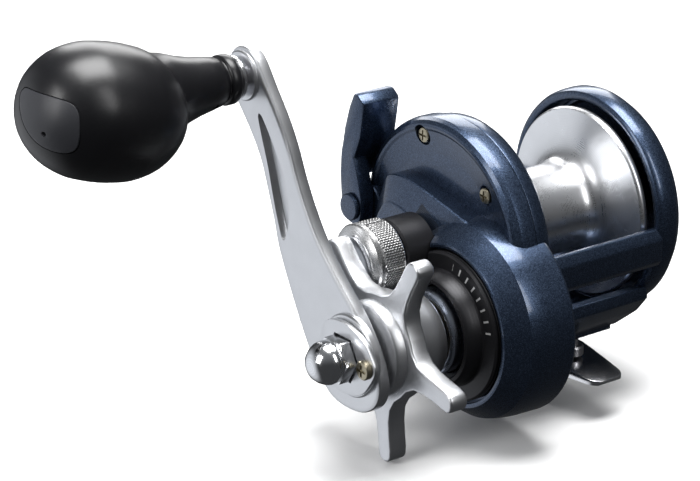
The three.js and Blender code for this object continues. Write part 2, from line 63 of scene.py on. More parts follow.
JOINT = {joint["name"]: joint for joint in frame["joints"]}
AXLE = Vector(JOINT["spool_spin"]["pos_m"])
MILLIMETRE = 0.001
TO_MODEL = Matrix.Translation(AXLE) @ Matrix.Scale(MILLIMETRE, 4)


def about(joint_name):
    """(y, z) of a joint's axis, in millimetres from the spool axle."""
    offset = (Vector(JOINT[joint_name]["pos_m"]) - AXLE) / MILLIMETRE
    return offset.y, offset.z


SPOOL = (0.0, 0.0)
DRIVE = about("handle_spin")
KNOB = about("knob_spin")
PIVOT = about("clutch_lever_turn")
BULB_TILT = -16.0
BULB_MIDDLE = (133.2, KNOB[0] + 0.25, KNOB[1] - 1.25)
LOCK_SCREW = (DRIVE[0] + 11.4, DRIVE[1] + 0.2)
FLOOR_GAP = 0.0005

# ------------------------------------------------------------------ camera, light and floor
CAMERA_AZIMUTH = math.radians(143.06)
CAMERA_ELEVATION = math.radians(21.01)
CAMERA_PLACE = (0.56323, 0.65695, 0.36595)
CAMERA_LENS = 154.29
back = Vector((
    math.sin(CAMERA_AZIMUTH) * math.cos(CAMERA_ELEVATION),
    -math.cos(CAMERA_AZIMUTH) * math.cos(CAMERA_ELEVATION),
    math.sin(CAMERA_ELEVATION),
))
camera = bpy.data.objects.new("camera", bpy.data.cameras.new("camera"))
bpy.context.scene.collection.objects.link(camera)
camera.location = CAMERA_PLACE
camera.rotation_mode = "QUATERNION"
camera.rotation_quaternion = (-back).to_track_quat("-Z", "Y")
camera.data.lens = CAMERA_LENS
camera.data.clip_end = 20
bpy.context.scene.camera = camera
bpy.context.scene.view_settings.view_transform = "Standard"


def softbox(name, place, aim, width, height, power):
    """A rectangular lamp at a place, turned to face an aim."""
    lamp = bpy.data.lights.new(name, "AREA")
    lamp.shape = "RECTANGLE"
    lamp.size = width
    lamp.size_y = height
    lamp.energy = power
    holder = bpy.data.objects.new(name, lamp)
    bpy.context.scene.collection.objects.link(holder)
    holder.location = place
    holder.rotation_mode = "QUATERNION"
    holder.rotation_quaternion = (Vector(aim) - Vector(place)).to_track_quat("-Z", "Y")


middle = (0.05, 0.0, 0.05)
softbox("overhead_softbox", (-0.05, 0.0, 0.85), middle, 0.5, 0.6, 12.5)
softbox("handle_side_softbox", (0.95, 0.05, 0.5), middle, 0.4, 0.6, 5.0)
softbox("front_strip", (-0.1, 0.95, 0.7), middle, 0.16, 0.7, 3.0)
softbox("rear_rim", (-0.4, -0.7, 0.5), middle, 0.6, 0.5, 4.5)

world = bpy.data.worlds.new("studio")
bpy.context.scene.world = world
world.use_nodes = True
world.node_tree.nodes["Background"].inputs["Color"].default_value = (0.92, 0.95, 1.0, 1)


# ------------------------------------------------------------------ materials
class Wire:
    """One output of a material's node, used like a number in expressions."""

    def __init__(self, tree, socket):
        self.tree = tree
        self.socket = socket

    def node(self, kind, settings=None, inputs=None, output=0):
        return add_node(self.tree, kind, settings, inputs, output)

    def math(self, operation, *values):
        inputs = dict(enumerate((self, *values)))
        return self.node("Math", {"operation": operation}, inputs)

    def __add__(self, other):
        return self.math("ADD", other)

    def __mul__(self, other):
        return self.math("MULTIPLY", other)

    def __sub__(self, other):
        return self.math("SUBTRACT", other)

    def __truediv__(self, other):
        return self.math("DIVIDE", other)

    def __pow__(self, other):
        return self.math("POWER", other)

    def above(self, limit):
        return self.math("GREATER_THAN", limit)

    def below(self, limit):
        return self.math("LESS_THAN", limit)

    def sine(self):
        return self.math("SINE")

    def between(self, low, high):
        settings = {"interpolation_type": "SMOOTHSTEP"}
        return self.node("MapRange", settings, {"Value": self, "From Min": low, "From Max": high})


def add_node(tree, kind, settings=None, inputs=None, output=0):
    made = tree.nodes.new("ShaderNode" + kind)
    for key, value in (settings or {}).items():
        setattr(made, key, value)
    for key, value in (inputs or {}).items():
        if isinstance(value, Wire):
            tree.links.new(value.socket, made.inputs[key])
        else:
            made.inputs[key].default_value = value
    return Wire(tree, made.outputs[output])


def opaque(colour):
    return (*colour, 1.0)


class Finish:
    """A material under construction, with the patterns most finishes share."""

    def __init__(self, name, colour, roughness, metallic, **fixed):
        self.material = bpy.data.materials.new(name)
        self.material.use_nodes = True
        self.tree = self.material.node_tree
        self.shader = self.tree.nodes["Principled BSDF"]
        self.shader.inputs["Base Color"].default_value = opaque(colour)
        self.shader.inputs["Roughness"].default_value = roughness
        self.shader.inputs["Metallic"].default_value = metallic
        for socket, value in fixed.items():
            self.shader.inputs[socket.replace("_", " ")].default_value = value
        self.colour = colour
        self.place = add_node(self.tree, "TexCoord", output=3)

    def noise(self, size, detail=2.0):
        """Soft blotches of about this size, in millimetres."""
        inputs = {"Vector": self.place, "Scale": 1.0 / (size * MILLIMETRE), "Detail": detail}
        return add_node(self.tree, "TexNoise", None, inputs)

    def cell_shade(self, size):
        """One random value for each small cell of this size, in millimetres."""
        inputs = {"Vector": self.place, "Scale": 1.0 / (size * MILLIMETRE)}
        cells = add_node(self.tree, "TexVoronoi", None, inputs, 1)
        return add_node(self.tree, "SeparateColor", None, {0: cells}, 0)

    def along(self, axis):
        """x, y or z in millimetres from the spool axle."""
        parts = add_node(self.tree, "SeparateXYZ", None, {0: self.place}, "xyz".index(axis))
        return (parts - AXLE["xyz".index(axis)]) / MILLIMETRE

    def reach(self, axis_at):
        """Distance from an axis parallel to x, in millimetres."""
        across = self.along("y") - axis_at[0]
        up = self.along("z") - axis_at[1]
        return (across * across + up * up) ** 0.5

    def turn(self, axis_at):
        """Angle about an axis parallel to x, in radians."""
        up = self.along("z") - axis_at[1]
        return up.math("ARCTAN2", self.along("y") - axis_at[0])

    def tint(self, mask, other):
        """The base colour where mask is 0, the other where it is 1."""
        return self.blend(mask, self.colour, other)

    def blend(self, mask, first, second):
        """One colour where mask is 0, a second where it is 1. The first can be a wire too."""
        first = first if isinstance(first, Wire) else opaque(first)
        inputs = {0: mask, 6: first, 7: opaque(second)}
        mixed = add_node(self.tree, "Mix", {"data_type": "RGBA"}, inputs, 2)
        self.feed("Base Color", mixed)
        return mixed

    def feed(self, socket, wire):
        self.tree.links.new(wire.socket, self.shader.inputs[socket])

    def relief(self, height, depth, strength=1.0):
        """Bump from a height pattern. Depth is in millimetres."""
        inputs = {"Height": height, "Distance": depth * MILLIMETRE, "Strength": strength}
        self.feed("Normal", add_node(self.tree, "Bump", None, inputs))


def blue_paint():
    """Dark blue paint with fine flakes, and a painted reflection of the cast control's knurl beside it: a patch of
    dark crossed lines, also bumped like grooves.
    """
    # The third colour is the dark of a painted reflection: the cast control's knurl as mirrored in the flat face.
    shade, flake, knurl_reflection_dark = (0.022, 0.037, 0.070), (0.14, 0.20, 0.32), (0.004, 0.005, 0.007)
    coat = {"Coat_Weight": 0.5, "Coat_Roughness": 0.12}
    finish = Finish("blue_flake_paint", (0.020, 0.033, 0.062), 0.3, 0.85, **coat)
    sparkle = finish.cell_shade(0.17)
    bright = sparkle.between(0.45, 1.0)
    patchy = finish.noise(9.0, 3.0)
    plain = finish.blend(bright * 0.42 + patchy * 0.06, shade, flake)

    forward, up, out = finish.along("y") - 2.6, finish.along("z") - 5.2, finish.along("x")
    run = forward * 0.9 - up * 0.44
    side = forward * 0.44 + up * 0.9
    # The patch beside the cast control where the knurl's reflection is painted.
    knurl_reflection_patch = run.above(-7.0) * run.below(7.0) * side.above(-4.4) * side.below(4.4)
    knurl_reflection_patch = knurl_reflection_patch * out.above(38.5) * out.below(44.0)
    crossed = ((run + side) * 6.6).sine() * ((run - side) * 6.6).sine()
    # Painted reflection: dark crossed lines of the mirrored knurl mixed into the base colour.
    finish.blend(knurl_reflection_patch * (crossed.between(-0.1, 0.4) * -0.7 + 0.9), plain, knurl_reflection_dark)
    finish.feed("Roughness", sparkle * 0.10 + patchy * 0.05 + 0.24 + knurl_reflection_patch * 0.2)
    finish.relief(finish.noise(0.5, 3.0) * 0.06 + sparkle * 0.025 + crossed * knurl_reflection_patch, 0.12, 0.6)
    return finish.material


def satin_metal(name, colour, roughness, grain=0.25, depth=0.01):
    """Metal with a fine even grain, a little darker in places."""
    finish = Finish(name, colour, roughness, 1.0)
    fine = finish.noise(grain, 4.0)
    broad = finish.noise(6.0, 3.0)
    darker = tuple(channel * 0.78 for channel in colour)
    finish.tint(fine * 0.5 + broad * 0.3, darker)
    finish.feed("Roughness", fine * 0.12 + broad * 0.1 + (roughness - 0.1))
    finish.relief(fine, depth, 0.5)
    return finish.material


def turned_metal(name, colour, roughness, axis_at, pitch, depth):
    """Metal with the fine rings that a lathe tool leaves."""
    finish = Finish(name, colour, roughness, 1.0)
    travel = finish.reach(axis_at) + finish.along("x") * 0.73
    grooves = (travel * (2 * math.pi / pitch)).sine() * 0.5 + 0.5
    broad = finish.noise(5.0, 3.0)
    fine = finish.noise(0.3, 3.0)
    darker = tuple(channel * 0.8 for channel in colour)
    finish.tint(grooves * 0.25 + broad * 0.3, darker)
    finish.feed("Roughness", grooves * 0.05 + broad * 0.1 + fine * 0.06 + (roughness - 0.1))
    finish.relief(grooves + fine * 0.4, depth, 0.4)
    return finish.material


def knurled_metal():
    """Satin metal with a crossed knurl round the grip of the cast control, and painted shade in the knurl's
    valleys.
    """
    finish = Finish("knurled_satin", (0.6, 0.6, 0.6), 0.34, 1.0)
    angle = finish.turn(SPOOL) * 46.0
    travel = finish.along("x") * 6.0
    crossed = (angle + travel).sine() * (angle - travel).sine()
    reach = finish.reach(SPOOL)
    grip = finish.along("x").above(57.1) * finish.along("x").below(63.8) * reach.above(10.3)
    fine = finish.noise(0.3, 3.0)
    # Painted shade: the low valleys of the knurl are darkened towards black, where the teeth shade each other.
    low = crossed.between(-0.1, 0.5) * -1.0 + 1.0
    finish.tint(low * grip * 0.85 + fine * 0.12, (0.05, 0.05, 0.052))
    finish.feed("Roughness", fine * 0.12 + low * grip * 0.25 + 0.22)
    finish.relief(crossed * grip + fine * 0.1, 0.12, 0.9)
    return finish.material


def black_anodised():
    """Black metal with fine turned rings and a short scale of pale ticks round the drive axis."""
    finish = Finish("black_anodised", (0.012, 0.012, 0.014), 0.38, 0.55)
    radius = finish.reach(DRIVE)
    travel = radius + finish.along("x") * 0.73
    grooves = (travel * (2 * math.pi / 0.5)).sine() * 0.5 + 0.5
    fine = finish.noise(0.3, 3.0)
    angle = finish.turn(DRIVE) * (180 / math.pi)
    tick = ((angle * (math.pi / 5)).sine() * 0.5 + 0.5).above(0.93)
    band = radius.above(18.9) * radius.below(21.0)
    front = finish.along("x").above(48.0)
    arc = angle.above(8.0) * angle.below(82.0)
    shade = finish.blend(fine * 0.5, (0.010, 0.010, 0.012), (0.028, 0.028, 0.031))
    finish.blend(tick * band * front * arc, shade, (0.62, 0.62, 0.62))
    finish.feed("Roughness", fine * 0.14 + grooves * 0.05 + 0.28)
    finish.relief(grooves + fine * 0.6, 0.008, 0.4)
    return finish.material


def black_rubber():
    finish = Finish("black_rubber", (0.004, 0.004, 0.005), 0.4, 0.0, Specular_IOR_Level=0.5)
    grain = finish.noise(0.22, 4.0)
    broad = finish.noise(12.0, 3.0)
    finish.tint(grain * 0.4 + broad * 0.3, (0.009, 0.009, 0.011))
    finish.feed("Roughness", grain * 0.1 + broad * 0.08 + 0.24)
    finish.relief(grain, 0.03, 0.5)
    return finish.material


def grey_plastic():
    finish = Finish("grey_plastic", (0.024, 0.025, 0.03), 0.42, 0.0)
    grain = finish.noise(0.2, 3.0)
    finish.tint(grain * 0.5, (0.05, 0.051, 0.058))
    finish.feed("Roughness", grain * 0.16 + 0.36)
    finish.relief(grain, 0.015, 0.4)
    return finish.material


def carbon_cloth():
    finish = Finish("carbon_cloth", (0.012, 0.012, 0.013), 0.5, 0.0)
    weave = (finish.along("y") * 5.0).sine() * (finish.along("z") * 5.0).sine()
    finish.tint(weave.between(-0.4, 0.4), (0.05, 0.05, 0.055))
    finish.feed("Roughness", weave * 0.1 + 0.45)
    finish.relief(weave, 0.05, 0.5)
    return finish.material


def studio_wall():
    """A dim studio with one bright wall low behind the handle, which the flat metal faces mirror."""
    view = add_node(world.node_tree, "TexCoord")
    facing = {"operation": "DOT_PRODUCT"}
    wall = add_node(world.node_tree, "VectorMath", facing, {0: view, 1: (0.60, -0.72, -0.34)}, 1)
    sky = add_node(world.node_tree, "VectorMath", facing, {0: view, 1: (0.1, 0.0, 0.995)}, 1)
    glow = wall.between(0.55, 0.98) * 0.95 + sky.between(0.1, 1.0) * 0.14 + 0.05
    background = world.node_tree.nodes["Background"]
    world.node_tree.links.new(glow.socket, background.inputs["Strength"])


studio_wall()

FINISHES = {
    "blue_paint": blue_paint(),
    "spool_metal": turned_metal("polished_spool", (0.78, 0.79, 0.81), 0.3, SPOOL, 0.4, 0.004),
    "arm_metal": satin_metal("satin_arm", (0.70, 0.71, 0.73), 0.34),
    "star_metal": satin_metal("satin_star", (0.68, 0.69, 0.71), 0.36, 0.3),
    "black_metal": black_anodised(),
    "steel": satin_metal("machined_steel", (0.5, 0.5, 0.52), 0.34, 0.2),
    "polished_steel": satin_metal("polished_steel", (0.82, 0.82, 0.84), 0.2, 0.5, 0.003),
    "brass": satin_metal("machined_brass", (0.6, 0.45, 0.22), 0.3, 0.2),
    "screw_brass": satin_metal("dull_brass_screw", (0.42, 0.38, 0.28), 0.3, 0.2),
    "knob_rubber": black_rubber(),
    "end_plate_plastic": grey_plastic(),
    "carbon_washer": carbon_cloth(),
    "cast_knob": knurled_metal(),
    "nut_chrome": turned_metal("polished_nut", (0.8, 0.81, 0.83), 0.16, DRIVE, 0.6, 0.002),
    "seal_steel": turned_metal("blued_steel_seal", (0.36, 0.4, 0.48), 0.3, DRIVE, 0.5, 0.005),
}


# ------------------------------------------------------------------ shape helpers
def wire_profile(points, closed):
    """A bmesh holding a profile of (radius, x) points in the x-z plane."""
    shape = bmesh.new()
    corners = [shape.verts.new((x, 0.0, radius)) for radius, x in points]
    pairs = list(zip(corners, corners[1:]))
    if closed:
        pairs.append((corners[-1], corners[0]))
    for first, second in pairs:
        shape.edges.new((first, second))
    return shape


def clean(shape):
    """Merges points that coincide and turns all faces outwards."""
    bmesh.ops.remove_doubles(shape, verts=shape.verts, dist=0.0005)
    bmesh.ops.dissolve_degenerate(shape, dist=0.0005, edges=shape.edges)
    bmesh.ops.recalc_face_normals(shape, faces=shape.faces)
    return shape


def soften(shape, width, segments=2, angle=28.0):
    """Rounds every edge that is sharper than the angle."""
    limit = math.radians(angle)
    sharp = [edge for edge in shape.edges if edge.is_manifold and edge.calc_face_angle(0.0) > limit]
    if sharp:
        bmesh.ops.bevel(
            shape, geom=sharp, offset=width, offset_type="OFFSET", segments=segments,
            profile=0.5, affect="EDGES", clamp_overlap=True, material=-1,
        )
    return shape


def spin(shape, steps):
    """Turns the profile in a shape once round the x axis."""
    bmesh.ops.spin(
        shape, geom=shape.verts[:] + shape.edges[:], cent=(0, 0, 0), axis=(1, 0, 0),
        dvec=(0, 0, 0), angle=2 * math.pi, steps=steps, use_merge=True, use_duplicate=False,
    )
    return clean(shape)


def turned(points, axis_at=SPOOL, steps=96, round_by=0.0, segments=2):
    """A solid turned about the x axis from (radius, x) points, moved to its own axis."""
    closed = points[0][0] > 0
    shape = spin(wire_profile(points, closed), steps)
    if round_by:
        soften(shape, round_by, segments)
    bmesh.ops.translate(shape, verts=shape.verts, vec=(0, *axis_at))
    return shape


def rod(radius, x0, x1, axis_at, steps):
    """A plain round bar along x."""
    return turned([(0, x0), (radius, x0), (radius, x1), (0, x1)], axis_at, steps)


def prism(corners, shift):
    """A flat outline in space, drawn out by a shift."""
    shape = bmesh.new()
    face = shape.faces.new([shape.verts.new(corner) for corner in corners])
    made = bmesh.ops.extrude_face_region(shape, geom=[face], use_keep_orig=True)
    moved = [part for part in made["geom"] if isinstance(part, bmesh.types.BMVert)]
    bmesh.ops.translate(shape, verts=moved, vec=shift)
    return clean(shape)


def plate(outline, x0, x1, axis_at=SPOOL, round_by=0.0, segments=2):
    """A flat outline of (y, z) points drawn out along x."""
    shape = prism([(x0, y, z) for y, z in outline], (x1 - x0, 0, 0))
    if round_by:
        soften(shape, round_by, segments)
    bmesh.ops.translate(shape, verts=shape.verts, vec=(0, *axis_at))
    return shape


def loft(sections, axis_at=SPOOL):
    """A solid through outlines of equal length, each an (x, outline) pair."""
    shape = bmesh.new()
    loops = []
    for x, outline in sections:
        corners = [shape.verts.new((x, y, z)) for y, z in outline]
        loops.append([shape.edges.new(pair) for pair in zip(corners, corners[1:] + corners[:1])])
    for first, second in zip(loops, loops[1:]):
        bmesh.ops.bridge_loops(shape, edges=first + second)
    for loop in (loops[0], loops[-1]):
        bmesh.ops.contextual_create(shape, geom=loop)
    clean(shape)
    bmesh.ops.translate(shape, verts=shape.verts, vec=(0, *axis_at))
    return shape


def spline(a, b, c, d, t):
    """The value a share t of the way from b to c on a smooth curve through a, b, c and d."""
    return 0.5 * (
        2 * b + (c - a) * t
        + (2 * a - 5 * b + 4 * c - d) * t * t
        + (3 * b - a - 3 * c + d) * t ** 3
    )


def smooth_loop(points, count):
    """A closed Catmull-Rom loop through (y, z) points."""
    total = len(points)
    loop = []
    for step in range(count):
        share = step * total / count
        index = int(share)
        t = share - index
        nearby = (Vector(points[(index + k) % total]) for k in (-1, 0, 1, 2))
        loop.append(tuple(spline(*nearby, t)))
    return loop


def firm_loop(points, count):
    """A closed loop with even spacing on the straight runs and small rounded corners."""
    rounded = []
    total = len(points)
    per_corner = count // total
    for index, here in enumerate(points):
        here = Vector(here)
        before = Vector(points[index - 1])
        after = Vector(points[(index + 1) % total])
        reach = min(3.0, (before - here).length * 0.4, (after - here).length * 0.4)
        start = here + (before - here).normalized() * reach
        end = here + (after - here).normalized() * reach
        for step in range(per_corner):
            t = step / (per_corner - 1)
            rounded.append(tuple((1 - t) ** 2 * start + 2 * t * (1 - t) * here + t * t * end))
    return rounded


def ring_loop(radius, count):
    """The corners of a regular outline about the origin."""
    turns = [2 * math.pi * k / count for k in range(count)]
    return [(radius * math.cos(turn), radius * math.sin(turn)) for turn in turns]


def shrink(outline, distance):
    """The outline moved inwards by a distance, along the bisector at each point."""
    area = sum(a[0] * b[1] - b[0] * a[1] for a, b in zip(outline, outline[1:] + outline[:1]))
    sign = 1.0 if area > 0 else -1.0
    moved = []
    for before, here, after in zip(outline[-1:] + outline[:-1], outline, outline[1:] + outline[:1]):
        run = Vector(after) - Vector(before)
        inward = Vector((-run.y, run.x)).normalized() * sign
        moved.append((here[0] + inward.x * distance, here[1] + inward.y * distance))
    return moved


def loose(shape, name):
    """A plain object that carries a shape while it is joined or cut."""
    mesh = bpy.data.meshes.new(name)
    shape.to_mesh(mesh)
    shape.free()
    holder = bpy.data.objects.new(name, mesh)
    bpy.context.scene.collection.objects.link(holder)
    return holder


def combine(shape, others, operation):
    """Joins other solids to a solid, or cuts them away, and returns one clean solid."""
    base = loose(shape, "solid")
    tools = [loose(other, "tool") for other in others]
    for tool in tools:
        step = base.modifiers.new("step", "BOOLEAN")
        step.operation = operation
        step.solver = "EXACT"
        step.object = tool
    bpy.context.view_layer.update()
    evaluated = base.evaluated_get(bpy.context.evaluated_depsgraph_get())
    result = bmesh.new()
    result.from_mesh(evaluated.to_mesh())
    evaluated.to_mesh_clear()
    for holder in (base, *tools):
        mesh = holder.data
        bpy.data.objects.remove(holder)
        bpy.data.meshes.remove(mesh)
    bmesh.ops.remove_doubles(result, verts=result.verts, dist=0.0005)
    return result


def join(shape, *others):
    return combine(shape, others, "UNION")


def cut(shape, *others):
    return combine(shape, others, "DIFFERENCE")


def lengthwise(shape, angle, place):
    """Turns a shape made along x so that it points along y, then by an angle about x."""
    turn = Matrix.Rotation(math.radians(angle), 4, "X") @ Matrix.Rotation(math.radians(90), 4, "Z")
    bmesh.ops.transform(shape, verts=shape.verts, matrix=Matrix.Translation(place) @ turn)
    return shape


def piece(name, shape, body, finish, *nodes, slot=None, crease=32.0):
    """Puts a finished shape into the model, on its body, in place of its CAD nodes."""
    bmesh.ops.transform(shape, verts=shape.verts, matrix=TO_MODEL)
    mesh = bpy.data.meshes.new(name)
    shape.to_mesh(mesh)
    shape.free()
    for polygon in mesh.polygons:
        polygon.use_smooth = True
    mesh.set_sharp_from_angle(angle=math.radians(crease))
    made = bpy.data.objects.new(name, mesh)
    bpy.context.scene.collection.objects.link(made)
    mesh.materials.append(FINISHES[finish])
    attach(made, body)
    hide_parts(*nodes)


def cross_recess(depth_from, depth_to, reach, width, axis_at):
    """The cutter for a cross-head screw."""
    bars = []
    for long_y, long_z in ((reach, width), (width, reach)):
        outline = [(-long_y, -long_z), (long_y, -long_z), (long_y, long_z), (-long_y, long_z)]
        bars.append(plate(outline, depth_from, depth_to, axis_at))
    return bars


def cross_screw(x0, x1, radius, axis_at, rise=0.55):
    """A pan head screw that faces the handle side."""
    head = turned([
        (0, x0), (radius, x0), (radius, x1 - rise), (radius * 0.9, x1 - rise * 0.4),
        (radius * 0.6, x1), (0, x1 + 0.02),
    ], axis_at, 40)
    return cut(head, *cross_recess(x1 - 0.7, x1 + 1, radius * 0.66, radius * 0.14, axis_at))


# ------------------------------------------------------------------ frame
left_ring = turned([
    (31.2, -29.8), (31.2, -23.4), (31.7, -22.4), (33.2, -22.0), (34.2, -22.6), (34.8, -24.0),
    (35.0, -26), (35.0, -28.2), (34.7, -29.2), (34.2, -29.8), (33.4, -30),
], SPOOL, 128, 0.25)
right_ring = turned([
    (31.0, 22), (31.0, 28), (36.9, 28), (37.0, 27.7),
    (36.6, 24.6), (36.2, 23.2), (35.5, 22.3), (34.6, 22),
], SPOOL, 128, 0.2)
front_bar = plate(
    [(31.4, 0), (30.1, -5), (29.8, -11.4), (33.4, -12), (34.8, -10), (35.0, -3.2), (33.2, 0)],
    -23.4, 23.4, SPOOL, 0.5, 3)
rear_bar = plate(
    [(-31.6, 2), (-33.4, 2.4), (-34.6, 0), (-34, -7.6), (-32, -9.6), (-30.2, -8.8), (-30.9, -3)],
    -23.4, 23.4, SPOOL, 0.5, 3)
base = plate([
    (23.3, -21.6), (28.4, -20.4), (29.2, -24), (24.6, -29.6), (15, -37.2), (-15, -37.2),
    (-24.4, -29.6), (-27.4, -22.2), (-23.3, -21.6), (-20.4, -24.4),
    (-17, -27), (-13, -29.1), (-9, -30.6),
    (-4.6, -31.7), (0, -32), (4.6, -31.7), (9, -30.6), (13, -29.1), (17, -27), (20.4, -24.4),
], -23.4, 23.4, SPOOL, 0.5, 3)
seat = plate([(-14.5, -36), (14.5, -36), (14.5, -38.9), (-14.5, -38.9)], -21.8, 21.8, SPOOL, 0.5, 2)
body_frame = join(left_ring, right_ring, front_bar, rear_bar, base, seat)
piece("frame_shell", body_frame, "frame", "blue_paint", "reel_frame")

cover = turned([
    (0, -37.6), (13, -37.6), (14, -37.2), (15, -37.5),
    (22, -36.7), (28, -34.7), (31.5, -32.7), (33.0, -31.4),
    (33.4, -30.8), (33.4, -30.2), (30.2, -30.2), (29.4, -31.4),
    (20, -34), (12, -35), (8.2, -35), (8.2, -28.8),
    (5.4, -28.8), (5.4, -34.2), (0, -34.2),
], SPOOL, 128, 0.2)
piece("cover_shell", cover, "frame", "blue_paint", "left_side_cover")
for index in range(3):
    turn = math.pi / 2 + 2 * math.pi * index / 3
    spot = (10 * math.cos(turn), 10 * math.sin(turn))
    screw = turned([(0, -37.7), (1.9, -37.7), (1.9, -37.9), (1.5, -38.15), (0, -38.2)], spot, 32)
    screw = cut(screw, *cross_recess(-39, -37.9, 1.2, 0.26, spot))
    piece(f"cover_screw_head_{index + 1}", screw, "frame", "steel", f"left_cover_screw_{index + 1}")

# ------------------------------------------------------------------ spool
half = [
    (14.0, 0), (14.0, 9.5), (14.3, 11.4), (15.1, 13.2),
    (16.6, 14.8), (18.8, 16.1), (21.6, 17.2), (25.2, 18.2),
    (28.6, 18.75), (29.3, 18.9), (29.8, 19.5), (30.0, 20.3), (29.8, 21.2), (29.2, 21.6), (22, 21.6),
    (14, 20.6), (8.8, 19.6), (7.4, 18.4), (6, 17), (2.9, 17),
]
spool_profile = half + [(radius, -x) for radius, x in reversed(half[1:])]
piece("spool_shell", turned(spool_profile, SPOOL, 128), "spool", "spool_metal", "line_spool")

# ------------------------------------------------------------------ handle side plate
plate_disc = turned([
    (0, 28.3), (37.2, 28.3), (37.4, 28.6), (37.4, 31.8),
    (37.1, 33.4), (36.4, 34.8), (35.4, 35.7), (34.6, 36.0),
    (33.9, 35.8), (33.2, 35.4), (26.6, 34.05), (25.8, 34.0), (0, 34.0),
], SPOOL, 128)
lobe = turned([
    (0, 24.8), (30.2, 24.8), (30.9, 25.1), (31.2, 25.8),
    (31.0, 34), (30.5, 38.4), (29.9, 40.7), (29.0, 42.0),
    (27.4, 44.2), (25.6, 46.7), (25.1, 47.2), (24.6, 47.4),
    (23.9, 47.3), (23.7, 47.0), (23.7, 44.4), (0, 44.4),
], DRIVE, 128)
BULGE_SIDE = [
    (-20.4, 16.2), (-12.9, 17.4), (-4, 16.2), (5.5, 14.2), (19.7, 11.2), (33.7, 5.5), (40, 2.2),
    (42, -8), (30, -34), (8, -40), (-10, -30), (-22, -20), (-27, -9), (-26, 3),
]
BULGE_TOP = [
    (-17.6, 8.6), (-12, 8.9), (-5.5, 7.4), (0.5, 5.8), (12, 3), (22, 0.6), (30, -2),
    (32, -10), (26, -30), (8, -36), (-8, -27), (-17, -19), (-22, -8), (-22, 2),
]
side_loop = firm_loop(BULGE_SIDE, 84)
top_loop = firm_loop(BULGE_TOP, 84)
bulge = loft([
    (33.0, side_loop), (39.5, side_loop), (40.0, shrink(side_loop, 0.25)), (40.2, shrink(side_loop, 0.7)),
    (42.6, shrink(top_loop, -0.5)), (42.9, top_loop), (43.0, shrink(top_loop, 0.5)),
])
ear = turned([(0, 29.5), (6.6, 29.5), (7.0, 29.9), (7.0, 36), (6.6, 36.4), (0, 36.4)], PIVOT, 64)
shell = join(plate_disc, bulge, lobe, ear)
POCKETS = [(-9.0, 30.4), (20.0, 19.4)]
HOLLOW = [
    (-16.6, 11.6), (-12, 12.4), (5, 10.9), (16, 8.4), (24, 2),
    (20, -14), (0, -20), (-14, -14), (-17, 0),
]
cutters = [
    rod(37.3, 20, 28.3, SPOOL, 128),
    rod(11, 44.4, 60, SPOOL, 64),
    rod(31.2, 27, 32.2, SPOOL, 96),
    rod(25.4, 28.2, 36.6, DRIVE, 96),
    plate(HOLLOW, 30, 40.4),
    rod(3.4, 38, 50, SPOOL, 48),
    rod(12.4, 34, 50, DRIVE, 64),
    rod(1.9, 28, 40, PIVOT, 32),
]
for spot in POCKETS:
    cutters.append(turned([(0, 33.0), (3.0, 33.0), (3.1, 34.2), (3.6, 37), (3.6, 41), (0, 41)], spot, 48))
shell = cut(shell, *cutters)
piece("side_plate_shell", shell, "frame", "blue_paint", "handle_side_plate", crease=11)
for index, spot in enumerate(POCKETS):
    piece(f"plate_screw_head_{index + 1}", cross_screw(33.2, 35.3, 2.4, spot), "frame", "screw_brass",
          f"side_plate_screw_{index + 1}", slot="brass")

# ------------------------------------------------------------------ boss ring and seal
boss = turned([
    (13.4, 44.7), (22.9, 44.7), (22.9, 46.9), (22.5, 47.2), (22.9, 47.5), (22.9, 48.0), (22.3, 48.6),
    (18.1, 49.0), (17.7, 49.4), (17.4, 51), (16.8, 53.4),
    (16.3, 54.1), (15.2, 54.3), (14.7, 53.8), (14.6, 52),
    (13.4, 51.4),
], DRIVE, 128)
boss = cut(boss, rod(10.9, 44, 60, SPOOL, 96))
piece("boss_ring", boss, "frame", "black_metal", "gear_housing_ring")
seal = turned([
    (5.2, 50), (12.9, 50), (12.9, 55.6), (12.4, 56.2),
    (11.6, 56.4), (10.8, 56.0), (10.2, 55.2), (5.2, 55.2),
], DRIVE, 96)
piece("seal_ring", seal, "frame", "seal_steel", "housing_seal_ring", slot="star_metal")

# ------------------------------------------------------------------ star drag wheel
arms = []
ARM_EDGE = [
    (13.6, -9.8), (15.6, -6.6), (18.6, -4.2), (22.5, -3.2), (27, -2.9), (31.5, -3.0), (33.7, -2.9),
    (35.1, -1.8), (35.4, 0.0), (35.0, 1.6), (33.8, 2.8),
    (31.5, 3.2), (27, 3.2), (22.5, 3.4), (18.6, 4.3),
    (15.6, 6.6), (13.6, 9.8),
]
for index in range(5):
    turn = math.radians(60.6 + 72 * index)
    arms += [
        (u * math.cos(turn) - v * math.sin(turn), u * math.sin(turn) + v * math.cos(turn))
        for u, v in ARM_EDGE
    ]
star = plate(arms, 68.4, 74.6, DRIVE, 0.9, 3)
hub = turned([
    (0, 58.4), (12.2, 58.4), (13.0, 58.7), (13.5, 59.4),
    (13.9, 63), (14.6, 67), (15.0, 70), (14.8, 73.6),
    (14.4, 77.4), (13.9, 78.1), (13.1, 78.4), (0, 78.4),
], DRIVE, 96)
star = join(star, hub)
star = cut(
    star,
    rod(9.6, 50, 65.6, DRIVE, 64),
    rod(5, 60, 84, DRIVE, 48),
)
piece("star_wheel", star, "star", "star_metal", "star_drag_wheel", crease=30)

